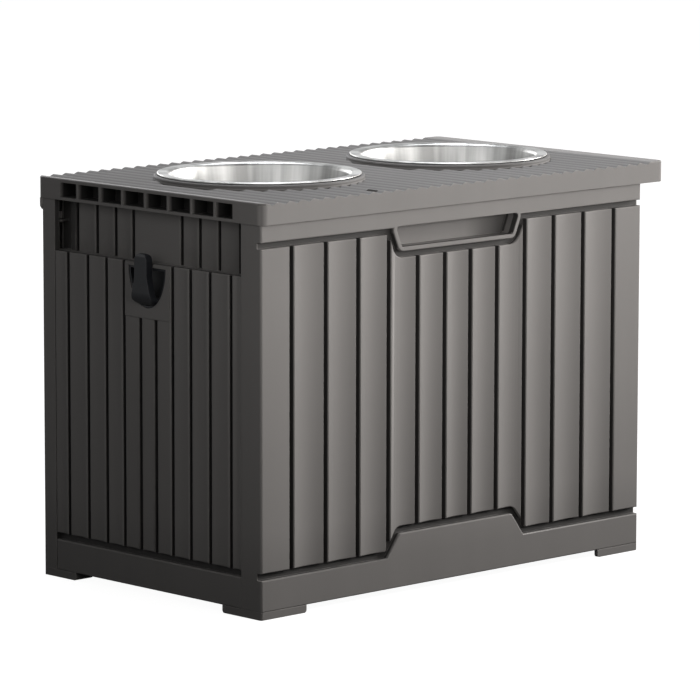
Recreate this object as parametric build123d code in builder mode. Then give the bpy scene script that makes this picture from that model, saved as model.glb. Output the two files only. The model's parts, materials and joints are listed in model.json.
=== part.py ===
"""Elevated dog feeder: a slatted resin storage box whose hinged lid carries two steel bowls.

Frame: millimetres, +Z up, +X to the right as seen from the front, +Y to the back.
The origin is the centre of the whole feeder's footprint, on the floor.
"""

import os

from build123d import *

os.makedirs("parts", exist_ok=True)

# --- Driving dimensions: the box -------------------------------------------------------------
BOX_LENGTH = 620.0
BOX_WIDTH = 376.0
WALL_TOP = 446.5            # floor to the rim that the lid closes on
SKIN = 3.0                  # moulded wall thickness
RELIEF = 7.0                # how far slats and bands stand off the wall's web
EDGE_BREAK = 0.9            # chamfer on the slats' and bands' outer edges
CORNER_ROUND = 2.5          # radius of the box's four upright corners
BACK_CORNER = 10.0          # plain strip at each end of the back, where its channels stop

FOOT_HEIGHT = 9.0
FOOT_LENGTH = 70.0          # arm along the front or back
FOOT_THICKNESS = 5.0
FOOT_DEPTH = 26.0           # arm along the side
FRONT_FOOT_REACH = 65.0
BACK_FOOT_REACH = 57.0
FOOT_END_ROUND = 3.5
FOOT_PEG_RADIUS = 2.5
FOOT_PEG_INSET = 8.0        # second peg's axis from the end of the side arm
FOOT_PEG_FIT = 0.05

BASE_BAND_TOP = 45.0
BASE_CHANNEL = 8.0          # gap between the base band and the slats
TOP_BAND = 19.5             # plain band under the rim
TOP_CHANNEL = 7.0           # gap between the slats and the top band
GROOVE = 6.4                # gap between two slats
SIDE_GROOVE = 5.0
POST_SEAM = 0.6             # gap between a side wall and the corner posts
REAR_EXTRA = 6.0            # how much wider the rearmost board of an end is than its foremost

CORNER_SLAT = 47.1          # first and last slat of a long wall
SLAT_COUNT = 11             # slats between the corner slats
SLAT_STEP = 2.2             # each slat is this much wider than its neighbour nearer the middle
SIDE_END_SLAT = 17.0
SIDE_SLAT_COUNT = 9
SIDE_SLAT_STEP = 2.1

FRONT_POST = 33.0           # how far the front wall wraps round onto the side
REAR_POST = 22.0

# --- Front grip and base tab -----------------------------------------------------------------
GRIP_TOP_WIDTH = 202.4
GRIP_BOTTOM_WIDTH = 181.4
GRIP_HEIGHT = 24.5
GRIP_BELOW_RIM = 18.0
GRIP_DEPTH = 20.0
GRIP_RIM = 5.0              # raised rim round the grip
GRIP_CORNER = 4.0
TAB_FOOT_WIDTH = 224.0
TAB_TOP_WIDTH = 184.0
TAB_HEIGHT = 27.0
TAB_CORNER = 5.0

# --- Side recess and leash hook --------------------------------------------------------------
LEDGE_HEIGHT = 386.5
RECESS_DEPTH = 15.0
RECESS_POCKET = 11.0        # gap between its slats and the rear post, open to behind the post
POCKET_RIB = 2.0
POCKET_RIB_HEIGHT = 33.0    # of the rib behind the rear post, above the ledge
PLATE_HEIGHT = 64.0
PLATE_PROUD = 0.8
CUP_WIDTH = 64.0
CUP_HEIGHT = 47.5
CUP_BELOW_LEDGE = 4.0
CUP_DEPTH = 12.5
CUP_WALL = 2.5
CUP_FLANGE = 2.5
CUP_CLEARANCE = 0.2
HOOK_WIDTH = 21.0
HOOK_FOOT_WIDTH = 34.0      # the hook widens downwards into its cup
HOOK_WAIST = 16.0           # where it starts to widen, above the middle of its bend
HOOK_TOP_ROUND = 9.0
HOOK_CUP_GAP = 1.6          # how far its foot stays inside the cup's outline
HOOK_BLADE = 9.0
HOOK_PROUD = 11.0           # outer face of the hook in front of the side wall
HOOK_ABOVE_LEDGE = 12.5
HOOK_THROAT = 7.0           # inner radius of the hook's bend
HOOK_MOUTH = 18.0           # notch in the ledge behind the hook

# --- Floor -----------------------------------------------------------------------------------
SHELF = 15.0                # ledge round the foot of the walls, which carries the floor
FLOOR_RISE = 7.5            # top of the floor panel above that ledge
FLOOR_PLATE = 3.5
FLOOR_RIB = 1.8
FLOOR_RIBS_LONG = 5
FLOOR_RIBS_CROSS = 9
FLOOR_CLEARANCE = 0.5

# --- Lid -------------------------------------------------------------------------------------
LID_GAP = 0.3
LID_THICKNESS = 25.2
LID_OVER_FRONT = 3.5
LID_OVER_BACK = 6.0
LID_OVER_LEFT = 2.0
LID_OVER_RIGHT = 37.0
LID_CORNER = 9.0
LID_EDGE = 1.6
LID_WALL = 6.0
RIDGE_COUNT = 34
RIDGE_DEPTH = 3.5
RIDGE_FALL = 0.62           # share of a ridge's pitch that slopes down to the right
RIDGE_LEFT_BORDER = 6.0
RIDGE_RIGHT_BORDER = 24.0
CELL_COUNT = 8
CELL_PITCH = 39.3
CELL_END_WIDTH = 28.9
CELL_RIB = 3.0
CELL_DEPTH = 24.0
CELL_ROOF = 4.6
CELL_FLOOR = 3.4
CELL_FRONT_MARGIN = 48.0
LINER_SET_IN = 1.5
LINER_PLATE = 2.5
LINER_CLEARANCE = 0.3
LID_BOSS_RADIUS = 4.5
LID_RIB = 2.2
LID_RIB_SPACING = 40.0      # the two ribs between the bowls
DRAIN_WIDTH = 3.0
DRAIN_LENGTH = 18.0
DRAIN_DEPTH = 1.0           # below the valleys between the ridges
DRAIN_FROM_LEFT = 186.0
DRAIN_FROM_FRONT = 15.0

# --- Bowls -----------------------------------------------------------------------------------
BOWL_SPACING = 310.0
BOWL_RIM_RADIUS = 119.0
BOWL_FLANGE = 12.5
BOWL_DEPTH = 68.0
BOWL_BASE_RADIUS = 72.0
BOWL_SHEET = 1.0
BOWL_BEAD = 1.1
BOWL_TAPER_IN = 7.0         # the wall leans in by this much from mouth to base bend
BOWL_BEND_HEIGHT = 22.0     # height above the floor where the wall meets the base bend
BOWL_BASE_BEND = 14.0
BOWL_WALL_BEND = 22.0
BOWL_MOUTH_BEND = 4.0
BOWL_SEAT_GAP = 0.3
COLLAR_HEIGHT = 4.6         # above the ridges
COLLAR_BEYOND_RIM = 4.0
COLLAR_EDGE = 2.2
BOWL_HOLE_CLEARANCE = 2.5

# --- Hinge -----------------------------------------------------------------------------------
HINGE_FROM_END = 120.0      # middle of a hinge from the end of the box
HINGE_OUT = 7.0             # pin axis behind the back wall
KNUCKLE_RADIUS = 5.0
KNUCKLE_BELOW_LID = 0.5
KNUCKLE_LUG = 9.0           # how far a lid knuckle's lug rises up the back of the lid
PIN_RADIUS = 2.5
PIN_RUNNING_FIT = 0.08
PIN_HELD_FIT = 0.02
PIN_CHAMFER = 0.5
LID_KNUCKLE = 30.0
WALL_KNUCKLE = 24.0
KNUCKLE_GAP = 0.6
HINGE_RAIL_PROUD = 3.5
HINGE_RAIL_HEIGHT = 13.5

# --- Screws ----------------------------------------------------------------------------------
SCREW_RADIUS = 1.9
SCREW_HEAD_RADIUS = 3.8
SCREW_HEAD = 2.4
SCREW_RECESS = 4.4          # span of the cross recess in the head
SCREW_RECESS_SLOT = 1.1
SCREW_FIT = 0.05
POST_BOSS = 9.0             # side of the square screw pads inside the corner posts
POST_SCREW_LEVELS = 4
LID_SCREW_RADIUS = 1.6
LID_SCREW_HEAD_RADIUS = 3.4
LID_SCREW_HEAD = 1.0
LID_SCREW_INSET = 14.0      # screw axis from the inside of the lid's wall
LID_SCREW_LENGTH = 12.0

# --- Places worked out from the sizes --------------------------------------------------------
TOTAL_LENGTH = HOOK_PROUD + BOX_LENGTH + LID_OVER_RIGHT
X_LEFT = HOOK_PROUD - TOTAL_LENGTH / 2
X_RIGHT = X_LEFT + BOX_LENGTH
X_MID = (X_LEFT + X_RIGHT) / 2
BACK_REACH = max(LID_OVER_BACK, HINGE_OUT + KNUCKLE_RADIUS)
Y_FRONT = LID_OVER_FRONT - (LID_OVER_FRONT + BOX_WIDTH + BACK_REACH) / 2
Y_BACK = Y_FRONT + BOX_WIDTH
SIDE_LENGTH = BOX_WIDTH - FRONT_POST - REAR_POST - REAR_EXTRA - 2 * POST_SEAM
Y_SIDE = Y_FRONT + FRONT_POST + POST_SEAM + SIDE_LENGTH / 2
POSTS = {"front": FRONT_POST, "back": REAR_POST}
FOOT_REACH = {"front": FRONT_FOOT_REACH, "back": BACK_FOOT_REACH}

WALL_DEPTH = RELIEF + SKIN
SLAT_FOOT = BASE_BAND_TOP + BASE_CHANNEL
TOP_BAND_FOOT = WALL_TOP - TOP_BAND
SLAT_HEAD = TOP_BAND_FOOT - TOP_CHANNEL
GRIP_TOP = WALL_TOP - GRIP_BELOW_RIM
SHELF_TOP = FOOT_HEIGHT + SKIN
FLOOR_TOP = SHELF_TOP + FLOOR_RISE
CUP_TOP = LEDGE_HEIGHT - CUP_BELOW_LEDGE

LID_BOTTOM = WALL_TOP + LID_GAP
LID_TOP = LID_BOTTOM + LID_THICKNESS
LID_X = (X_LEFT - LID_OVER_LEFT, X_RIGHT + LID_OVER_RIGHT)
LID_Y = (Y_FRONT - LID_OVER_FRONT, Y_BACK + LID_OVER_BACK)
LID_MID = ((LID_X[0] + LID_X[1]) / 2, (LID_Y[0] + LID_Y[1]) / 2)
LID_SIZE = (LID_X[1] - LID_X[0], LID_Y[1] - LID_Y[0])
ROOF_BOTTOM = LID_TOP - RIDGE_DEPTH - SKIN
CELL_BACK = LID_X[0] + CELL_DEPTH
CAVITY_LEFT = CELL_BACK + CELL_RIB
CAVITY_Y = (LID_Y[0] + LID_WALL, LID_Y[1] - LID_WALL)
LINER_BOTTOM = LID_BOTTOM + LINER_SET_IN
LINER_TOP = LINER_BOTTOM + LINER_PLATE

BOWL_CENTRES = [(LID_MID[0] + side * BOWL_SPACING / 2, LID_MID[1]) for side in (-1, 1)]
COLLAR_TOP = LID_TOP + COLLAR_HEIGHT
COLLAR_RADIUS = BOWL_RIM_RADIUS + COLLAR_BEYOND_RIM
BOWL_MOUTH_RADIUS = BOWL_RIM_RADIUS - BOWL_FLANGE
BOWL_HOLE_RADIUS = BOWL_MOUTH_RADIUS + BOWL_HOLE_CLEARANCE
RIM_UNDERSIDE = COLLAR_TOP + BOWL_SEAT_GAP + 2 * BOWL_BEAD - BOWL_SHEET

HINGE_Y = Y_BACK + HINGE_OUT
HINGE_Z = LID_BOTTOM - KNUCKLE_BELOW_LID - KNUCKLE_RADIUS
HINGE_XS = [X_LEFT + HINGE_FROM_END, X_RIGHT - HINGE_FROM_END]
KNUCKLE_STEP = LID_KNUCKLE / 2 + KNUCKLE_GAP + WALL_KNUCKLE / 2

SCREW_LEVELS = [
    SLAT_FOOT + (LEDGE_HEIGHT - SLAT_FOOT) * (level + 0.5) / POST_SCREW_LEVELS
    for level in range(POST_SCREW_LEVELS)
]
SCREW_TIP = SKIN / 2        # how close a corner screw's point comes to the outer face
ALONG_X = (0, 90, 0)        # turn that lays a cylinder along X


def at_depth(side, depth):
    """Coordinate, across a wall, of a point this deep behind the wall's outer face."""
    faces = {"front": (Y_FRONT, 1), "back": (Y_BACK, -1), "left": (X_LEFT, 1), "right": (X_RIGHT, -1)}
    face, inward = faces[side]
    return face + inward * depth


def between(side, shallow, deep):
    """Span between two depths behind a wall's outer face."""
    return (at_depth(side, shallow), at_depth(side, deep))


def wall_plane(side, depth=0.0):
    """Plane on a wall's outer face, moved in by depth: local x along the wall, local y up."""
    if side in ("front", "back"):
        facing = -1 if side == "front" else 1
        return Plane((X_MID, at_depth(side, depth), 0), x_dir=(-facing, 0, 0), z_dir=(0, facing, 0))
    facing = -1 if side == "left" else 1
    return Plane((at_depth(side, depth), Y_SIDE, 0), x_dir=(0, facing, 0), z_dir=(facing, 0, 0))


def slat_spans(length, end_slat, count, step, groove):
    """Start and end of every slat along a wall centred on zero, widest slats at the ends."""
    half = (count - 1) // 2
    middle = (length - 2 * end_slat - 2 * step * sum(range(half + 1))) / count
    edges = [-length / 2 + end_slat]
    for index in range(count):
        edges.append(edges[-1] + middle + step * abs(index - half))
    starts = [-length / 2] + [edge + groove / 2 for edge in edges]
    ends = [edge - groove / 2 for edge in edges] + [length / 2]
    return list(zip(starts, ends))


def add_rectangle(x_span, y_span, mode=Mode.ADD):
    """Rectangle in the current sketch from its two spans."""
    with Locations(((x_span[0] + x_span[1]) / 2, (y_span[0] + y_span[1]) / 2)):
        Rectangle(x_span[1] - x_span[0], y_span[1] - y_span[0], mode=mode)


def add_block(x_span, y_span, z_span, mode=Mode.ADD):
    """Block in the current part from its three spans."""
    spans = (x_span, y_span, z_span)
    with Locations(tuple((span[0] + span[1]) / 2 for span in spans)):
        Box(*(abs(span[1] - span[0]) for span in spans), mode=mode)


def grip_outline(margin):
    """Outline of the front grip, grown by a margin."""
    with BuildSketch() as outline:
        with BuildLine():
            Polyline(
                (-GRIP_TOP_WIDTH / 2, GRIP_TOP),
                (GRIP_TOP_WIDTH / 2, GRIP_TOP),
                (GRIP_BOTTOM_WIDTH / 2, GRIP_TOP - GRIP_HEIGHT),
                (-GRIP_BOTTOM_WIDTH / 2, GRIP_TOP - GRIP_HEIGHT),
                close=True,
            )
        make_face()
        fillet(outline.vertices(), GRIP_CORNER)
        if margin:
            offset(amount=margin)
    return outline.sketch


def tab_outline(margin):
    """Outline of the tab on the front base band, grown by a margin."""
    with BuildSketch() as outline:
        with BuildLine():
            Polyline(
                (-TAB_FOOT_WIDTH / 2, BASE_BAND_TOP),
                (-TAB_TOP_WIDTH / 2, BASE_BAND_TOP + TAB_HEIGHT),
                (TAB_TOP_WIDTH / 2, BASE_BAND_TOP + TAB_HEIGHT),
                (TAB_FOOT_WIDTH / 2, BASE_BAND_TOP),
                (TAB_FOOT_WIDTH / 2, BASE_BAND_TOP - SKIN),
                (-TAB_FOOT_WIDTH / 2, BASE_BAND_TOP - SKIN),
                close=True,
            )
        make_face()
        fillet(outline.vertices().group_by(Axis.Y)[-1], TAB_CORNER)
        if margin:
            offset(amount=margin)
    return outline.sketch


def cup_outline(shrink=0.0, top=CUP_TOP):
    """Half-oval outline of the hook's cup on a side wall, flat side up."""
    with BuildSketch() as outline:
        with Locations((0, CUP_TOP)):
            Ellipse(CUP_WIDTH / 2 - shrink, CUP_HEIGHT - shrink)
        add_rectangle((-CUP_WIDTH, CUP_WIDTH), (top - shrink, CUP_TOP + 2 * CUP_HEIGHT), Mode.SUBTRACT)
    return outline.sketch


def hollow_backs(relief):
    """The outlines of a wall's relief one skin smaller, which hollow it out from behind."""
    with BuildSketch() as hollows:
        for region in relief.faces():
            add(offset(region, amount=-SKIN, mode=Mode.PRIVATE))
    return hollows.sketch


def corner_screw_seats(side, wall):
    """Points on a side wall's inner face where its screws into one corner post are seated."""
    y_seat = at_depth(wall, POSTS[wall] - SKIN - POST_BOSS / 2)
    return [(at_depth(side, WALL_DEPTH), y_seat, level) for level in SCREW_LEVELS]


def cut_corner_screws(side, wall):
    """Cut the holes of one row of corner screws out of the current part."""
    for seat in corner_screw_seats(side, wall):
        with Locations(Location(seat, ALONG_X)):
            Cylinder(SCREW_RADIUS + SCREW_FIT, 2 * (WALL_DEPTH - SCREW_TIP), mode=Mode.SUBTRACT)


def foot_pegs(side, wall):
    """Places of a corner foot's two pegs: one under the long wall, one under the side wall."""
    across = WALL_DEPTH + SHELF / 2
    return [
        (at_depth(side, across), at_depth(wall, across)),
        (at_depth(side, across), at_depth(wall, FOOT_REACH[wall] - FOOT_PEG_INSET)),
    ]


def cut_foot_pegs(side, wall):
    """Cut the holes of one corner foot's pegs out of the current part."""
    with Locations([(x, y, FOOT_HEIGHT + SKIN / 2) for x, y in foot_pegs(side, wall)]):
        Cylinder(FOOT_PEG_RADIUS + FOOT_PEG_FIT, SKIN, mode=Mode.SUBTRACT)


def corner_waste(side, wall):
    """What a rounded corner leaves off a square one, seen from above."""
    with BuildSketch() as waste:
        with Locations((at_depth(side, CORNER_ROUND / 2), at_depth(wall, CORNER_ROUND / 2))):
            Rectangle(CORNER_ROUND, CORNER_ROUND)
        with Locations((at_depth(side, CORNER_ROUND), at_depth(wall, CORNER_ROUND))):
            Circle(CORNER_ROUND, mode=Mode.SUBTRACT)
    return waste.sketch


# --- Long walls: front and back --------------------------------------------------------------
def long_relief(grip):
    """Everything that stands proud on a long wall: slats, top band and base band."""
    half = BOX_LENGTH / 2
    with BuildSketch() as relief:
        for span in slat_spans(BOX_LENGTH, CORNER_SLAT, SLAT_COUNT, SLAT_STEP, GROOVE):
            add_rectangle(span, (SLAT_FOOT, SLAT_HEAD))
        if grip:
            add(grip_outline(GRIP_RIM + TOP_CHANNEL), mode=Mode.SUBTRACT)
            add(tab_outline(BASE_CHANNEL), mode=Mode.SUBTRACT)
        add_rectangle((-half, half), (TOP_BAND_FOOT, WALL_TOP))
        add_rectangle((-half, half), (FOOT_HEIGHT, BASE_BAND_TOP))
        if grip:
            add(grip_outline(GRIP_RIM))
            add(tab_outline(0))
    return relief.sketch


def add_wrapped_post(side, wall):
    """Where a long wall wraps round a corner: skin, stiffening rib and screw pads."""
    post = POSTS[wall]
    heights = (FOOT_HEIGHT, WALL_TOP)
    add_block(between(side, 0, SKIN), between(wall, RELIEF, post), heights)
    add_block(between(side, SKIN, RELIEF), between(wall, post - SKIN, post), heights)
    for level in SCREW_LEVELS:
        add_block(
            between(side, SKIN, RELIEF),
            between(wall, post - SKIN - POST_BOSS, post - SKIN),
            (level - POST_BOSS / 2, level + POST_BOSS / 2),
        )


def build_hinge_rail():
    """Rail along the back of the rim, slotted for the lid's knuckles, with knuckles of its own."""
    rail_face = Y_BACK + HINGE_RAIL_PROUD
    rail_foot = WALL_TOP - HINGE_RAIL_HEIGHT
    slot = LID_KNUCKLE / 2 + KNUCKLE_GAP
    with BuildPart() as rail:
        with BuildSketch(Plane.YZ.offset(X_LEFT)):
            with BuildLine():
                Polyline(
                    (Y_BACK - SKIN, WALL_TOP),
                    (rail_face, WALL_TOP),
                    (rail_face, rail_foot + HINGE_RAIL_PROUD),
                    (Y_BACK, rail_foot),
                    (Y_BACK - SKIN, rail_foot),
                    close=True,
                )
            make_face()
        extrude(amount=BOX_LENGTH)
        for hinge_x in HINGE_XS:
            slot_x = (hinge_x - slot, hinge_x + slot)
            add_block(slot_x, (Y_BACK, HINGE_Y), (rail_foot, WALL_TOP), Mode.SUBTRACT)
            for knuckle_x in (hinge_x - KNUCKLE_STEP, hinge_x + KNUCKLE_STEP):
                add_block(
                    (knuckle_x - WALL_KNUCKLE / 2, knuckle_x + WALL_KNUCKLE / 2),
                    (Y_BACK - SKIN, HINGE_Y),
                    (HINGE_Z - KNUCKLE_RADIUS, HINGE_Z + KNUCKLE_RADIUS),
                )
                with Locations(Location((knuckle_x, HINGE_Y, HINGE_Z), ALONG_X)):
                    Cylinder(KNUCKLE_RADIUS, WALL_KNUCKLE)
                    Cylinder(PIN_RADIUS + PIN_HELD_FIT, WALL_KNUCKLE, mode=Mode.SUBTRACT)
    return rail


def build_long_wall(wall_name, rail=None):
    """Front or back wall with its slats, bands, wrapped corner posts and shelf."""
    grip = wall_name == "front"
    relief = long_relief(grip)
    hollows = hollow_backs(relief)
    corner_left = corner_waste("left", wall_name)
    corner_right = corner_waste("right", wall_name)
    with BuildPart() as wall:
        with BuildSketch(wall_plane(wall_name)):
            add(relief)
            if not grip:
                half = BOX_LENGTH / 2
                add_rectangle((-half, BACK_CORNER - half), (FOOT_HEIGHT, WALL_TOP))
                add_rectangle((half - BACK_CORNER, half), (FOOT_HEIGHT, WALL_TOP))
        extrude(amount=-WALL_DEPTH)
        chamfer(wall.faces().filter_by(wall_plane(wall_name)).edges(), EDGE_BREAK)
        add_block(
            (X_LEFT, X_RIGHT), between(wall_name, RELIEF, WALL_DEPTH), (FOOT_HEIGHT, WALL_TOP)
        )
        with BuildSketch(wall_plane(wall_name, SKIN)):
            add(hollows)
        extrude(amount=-RELIEF, mode=Mode.SUBTRACT)
        if grip:
            with BuildSketch(wall_plane(wall_name, SKIN)):
                add(grip_outline(SKIN))
            extrude(amount=-GRIP_DEPTH)
            with BuildSketch(wall_plane(wall_name)):
                add(grip_outline(0))
            extrude(amount=-GRIP_DEPTH, mode=Mode.SUBTRACT)
        if rail:
            add(rail.part)
        add_block(
            (at_depth("left", WALL_DEPTH), at_depth("right", WALL_DEPTH)),
            between(wall_name, WALL_DEPTH, WALL_DEPTH + SHELF),
            (FOOT_HEIGHT, SHELF_TOP),
        )
        for side in ("left", "right"):
            add_wrapped_post(side, wall_name)
            cut_corner_screws(side, wall_name)
            cut_foot_pegs(side, wall_name)
        with BuildSketch(Plane.XY.offset(FOOT_HEIGHT)):
            add(corner_left)
            add(corner_right)
        extrude(amount=WALL_TOP - FOOT_HEIGHT, mode=Mode.SUBTRACT)
    return wall


# --- Short walls: left and right -------------------------------------------------------------
def short_wall_slats(side):
    """Slat spans of a short wall, and the span of the three middle ones together."""
    spans = slat_spans(SIDE_LENGTH, SIDE_END_SLAT, SIDE_SLAT_COUNT, SIDE_SLAT_STEP, SIDE_GROOVE)
    middle = len(spans) // 2
    plate_span = (spans[middle - 1][0], spans[middle + 1][1])
    if side == "left":
        spans[0] = (spans[0][0] - REAR_EXTRA, spans[0][1])
    else:
        spans[-1] = (spans[-1][0], spans[-1][1] + REAR_EXTRA)
    return spans, plate_span


def short_relief(side):
    """Lower slats, base band and hook plate of a short wall, flush with the posts."""
    spans, plate_span = short_wall_slats(side)
    with BuildSketch() as relief:
        for span in spans:
            add_rectangle(span, (SLAT_FOOT, LEDGE_HEIGHT))
        add_rectangle((spans[0][0], spans[-1][1]), (FOOT_HEIGHT, BASE_BAND_TOP))
        add_rectangle(plate_span, (LEDGE_HEIGHT - PLATE_HEIGHT, LEDGE_HEIGHT))
    return relief.sketch


def recess_relief(side):
    """Upper slats of a short wall, at the back of the hand recess, short of its rear pocket."""
    spans, plate_span = short_wall_slats(side)
    if side == "left":
        pocket = (spans[0][0], spans[0][0] + RECESS_POCKET)
    else:
        pocket = (spans[-1][1] - RECESS_POCKET, spans[-1][1])
    with BuildSketch() as relief:
        for span in spans:
            add_rectangle(span, (LEDGE_HEIGHT, WALL_TOP))
        add_rectangle(plate_span, (LEDGE_HEIGHT, WALL_TOP))
        add_rectangle(pocket, (LEDGE_HEIGHT, WALL_TOP), Mode.SUBTRACT)
    return relief.sketch


def add_recess(side):
    """Ledge, front end and back of the hand recess, which runs on behind the rear post."""
    start = Y_SIDE - SIDE_LENGTH / 2
    finish = Y_SIDE + SIDE_LENGTH / 2 + REAR_EXTRA
    edges = (at_depth("front", WALL_DEPTH), at_depth("back", WALL_DEPTH))
    recess = between(side, RELIEF, RECESS_DEPTH + WALL_DEPTH)
    ledge_foot = LEDGE_HEIGHT - SKIN
    rib_foot = LEDGE_HEIGHT + POCKET_RIB_HEIGHT
    add_block(between(side, RELIEF, WALL_DEPTH), (edges[0], start), (LEDGE_HEIGHT, WALL_TOP))
    add_block(recess, (start - SKIN, start), (ledge_foot, WALL_TOP))
    add_block(recess, (start, edges[1]), (ledge_foot, LEDGE_HEIGHT))
    add_block(
        between(side, RECESS_DEPTH + RELIEF, RECESS_DEPTH + WALL_DEPTH),
        (start, edges[1]),
        (ledge_foot, WALL_TOP),
    )
    add_block(recess, (finish, edges[1]), (rib_foot, rib_foot + POCKET_RIB))


def build_short_wall(side):
    """Left or right wall: slats below a ledge, a hand recess above it, a hole for the hook's cup."""
    plate_span = short_wall_slats(side)[1]
    relief = short_relief(side)
    upper_relief = recess_relief(side)
    hollows = hollow_backs(relief)
    upper_hollows = hollow_backs(upper_relief)
    edges = (at_depth("front", WALL_DEPTH), at_depth("back", WALL_DEPTH))
    with BuildPart() as wall:
        with BuildSketch(wall_plane(side)):
            add(relief)
        extrude(amount=-WALL_DEPTH)
        with BuildSketch(wall_plane(side, RECESS_DEPTH)):
            add(upper_relief)
        extrude(amount=-WALL_DEPTH)
        chamfer(wall.faces().filter_by(wall_plane(side)).edges(), EDGE_BREAK)
        upper_faces = wall.faces().filter_by(wall_plane(side, RECESS_DEPTH))
        chamfer(upper_faces.edges().filter_by(Axis.Z), EDGE_BREAK)
        with BuildSketch(wall_plane(side)):
            add_rectangle(
                (plate_span[0] + EDGE_BREAK, plate_span[1] - EDGE_BREAK),
                (LEDGE_HEIGHT - PLATE_HEIGHT + EDGE_BREAK, LEDGE_HEIGHT - EDGE_BREAK),
            )
        extrude(amount=PLATE_PROUD)
        add_block(between(side, RELIEF, WALL_DEPTH), edges, (FOOT_HEIGHT, LEDGE_HEIGHT))
        add_recess(side)
        with BuildSketch(wall_plane(side, SKIN)):
            add(hollows)
        extrude(amount=-RELIEF, mode=Mode.SUBTRACT)
        with BuildSketch(wall_plane(side, RECESS_DEPTH + SKIN)):
            add(upper_hollows)
        extrude(amount=-RELIEF, mode=Mode.SUBTRACT)
        with BuildSketch(wall_plane(side, -PLATE_PROUD)):
            add(cup_outline())
        extrude(amount=-(PLATE_PROUD + WALL_DEPTH), mode=Mode.SUBTRACT)
        add_block(
            between(side, -PLATE_PROUD, CUP_DEPTH),
            (Y_SIDE - HOOK_MOUTH / 2, Y_SIDE + HOOK_MOUTH / 2),
            (CUP_TOP - SKIN, LEDGE_HEIGHT),
            Mode.SUBTRACT,
        )
        add_block(
            between(side, WALL_DEPTH, WALL_DEPTH + SHELF),
            (edges[0] + SHELF, edges[1] - SHELF),
            (FOOT_HEIGHT, SHELF_TOP),
        )
        for wall_name in ("front", "back"):
            cut_corner_screws(side, wall_name)
            cut_foot_pegs(side, wall_name)
    return wall


def hook_profile():
    """Side view of the hook: x runs inwards from the wall's face, y up, root at the cup's back."""
    bend_z = CUP_TOP - CUP_HEIGHT + CUP_WALL + HOOK_BLADE + HOOK_THROAT
    outer_x = -HOOK_PROUD
    inner_x = outer_x + HOOK_BLADE
    tip_z = LEDGE_HEIGHT + HOOK_ABOVE_LEDGE
    bend_x = inner_x + HOOK_THROAT
    outer_radius = HOOK_THROAT + HOOK_BLADE
    with BuildSketch() as profile:
        with BuildLine():
            Line((outer_x, bend_z), (outer_x, tip_z - HOOK_BLADE / 2))
            RadiusArc((outer_x, tip_z - HOOK_BLADE / 2), (inner_x, tip_z - HOOK_BLADE / 2), HOOK_BLADE / 2)
            Line((inner_x, tip_z - HOOK_BLADE / 2), (inner_x, bend_z))
            RadiusArc((inner_x, bend_z), (bend_x, bend_z - HOOK_THROAT), -HOOK_THROAT)
            Polyline(
                (bend_x, bend_z - HOOK_THROAT),
                (CUP_DEPTH + CUP_WALL / 2, bend_z - HOOK_THROAT),
                (CUP_DEPTH + CUP_WALL / 2, bend_z - outer_radius),
                (bend_x, bend_z - outer_radius),
            )
            RadiusArc((bend_x, bend_z - outer_radius), (outer_x, bend_z), outer_radius)
        make_face()
    return profile.sketch


def tongue_outline():
    """The hook seen from the end of the box: round at its top, wider where it enters the cup."""
    bend_z = CUP_TOP - CUP_HEIGHT + CUP_WALL + HOOK_BLADE + HOOK_THROAT
    tip_z = LEDGE_HEIGHT + HOOK_ABOVE_LEDGE
    foot_z = CUP_TOP - CUP_HEIGHT
    narrow = HOOK_WIDTH / 2
    wide = HOOK_FOOT_WIDTH / 2
    with BuildSketch() as tongue:
        with BuildLine():
            Polyline(
                (-narrow, tip_z),
                (narrow, tip_z),
                (narrow, bend_z + HOOK_WAIST),
                (wide, bend_z - HOOK_THROAT),
                (wide, foot_z),
                (-wide, foot_z),
                (-wide, bend_z - HOOK_THROAT),
                (-narrow, bend_z + HOOK_WAIST),
                close=True,
            )
        make_face()
        fillet(tongue.vertices().group_by(Axis.Y)[-2], 2 * HOOK_WAIST)
        fillet(tongue.vertices().group_by(Axis.Y)[-1], HOOK_TOP_ROUND)
        add(cup_outline(HOOK_CUP_GAP, CUP_TOP + CUP_HEIGHT), mode=Mode.INTERSECT)
    return tongue.sketch


def build_hook(side):
    """Half-oval cup let into a side wall, with a hook that rises from its foot in front of it."""
    inward = 1 if side == "left" else -1
    mouth = (Y_SIDE - HOOK_MOUTH / 2, Y_SIDE + HOOK_MOUTH / 2)
    flange_outline = cup_outline(-CUP_FLANGE, LEDGE_HEIGHT - SKIN - CUP_CLEARANCE - CUP_FLANGE)
    profile = hook_profile()
    tongue = tongue_outline()
    face = (at_depth(side, 0), Y_SIDE, 0)
    with BuildPart() as blade:
        with BuildSketch(Plane(face, x_dir=(inward, 0, 0), z_dir=(0, -inward, 0))):
            add(profile)
        extrude(amount=HOOK_FOOT_WIDTH, both=True)
        with BuildSketch(wall_plane(side, -2 * HOOK_PROUD)):
            add(tongue)
        extrude(amount=-(2 * HOOK_PROUD + CUP_DEPTH + CUP_WALL), mode=Mode.INTERSECT)
    with BuildPart() as hook:
        with BuildSketch(wall_plane(side)):
            add(cup_outline(CUP_CLEARANCE))
        extrude(amount=-(CUP_DEPTH + CUP_WALL))
        with BuildSketch(wall_plane(side, SKIN)):
            add(flange_outline)
        extrude(amount=-CUP_FLANGE)
        with BuildSketch(wall_plane(side)):
            add(cup_outline(CUP_CLEARANCE + CUP_WALL))
        extrude(amount=-CUP_DEPTH, mode=Mode.SUBTRACT)
        add_block(between(side, 0, CUP_DEPTH), mouth, (CUP_TOP - 2 * CUP_WALL, LEDGE_HEIGHT), Mode.SUBTRACT)
        add(blade.part)
    return hook


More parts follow.
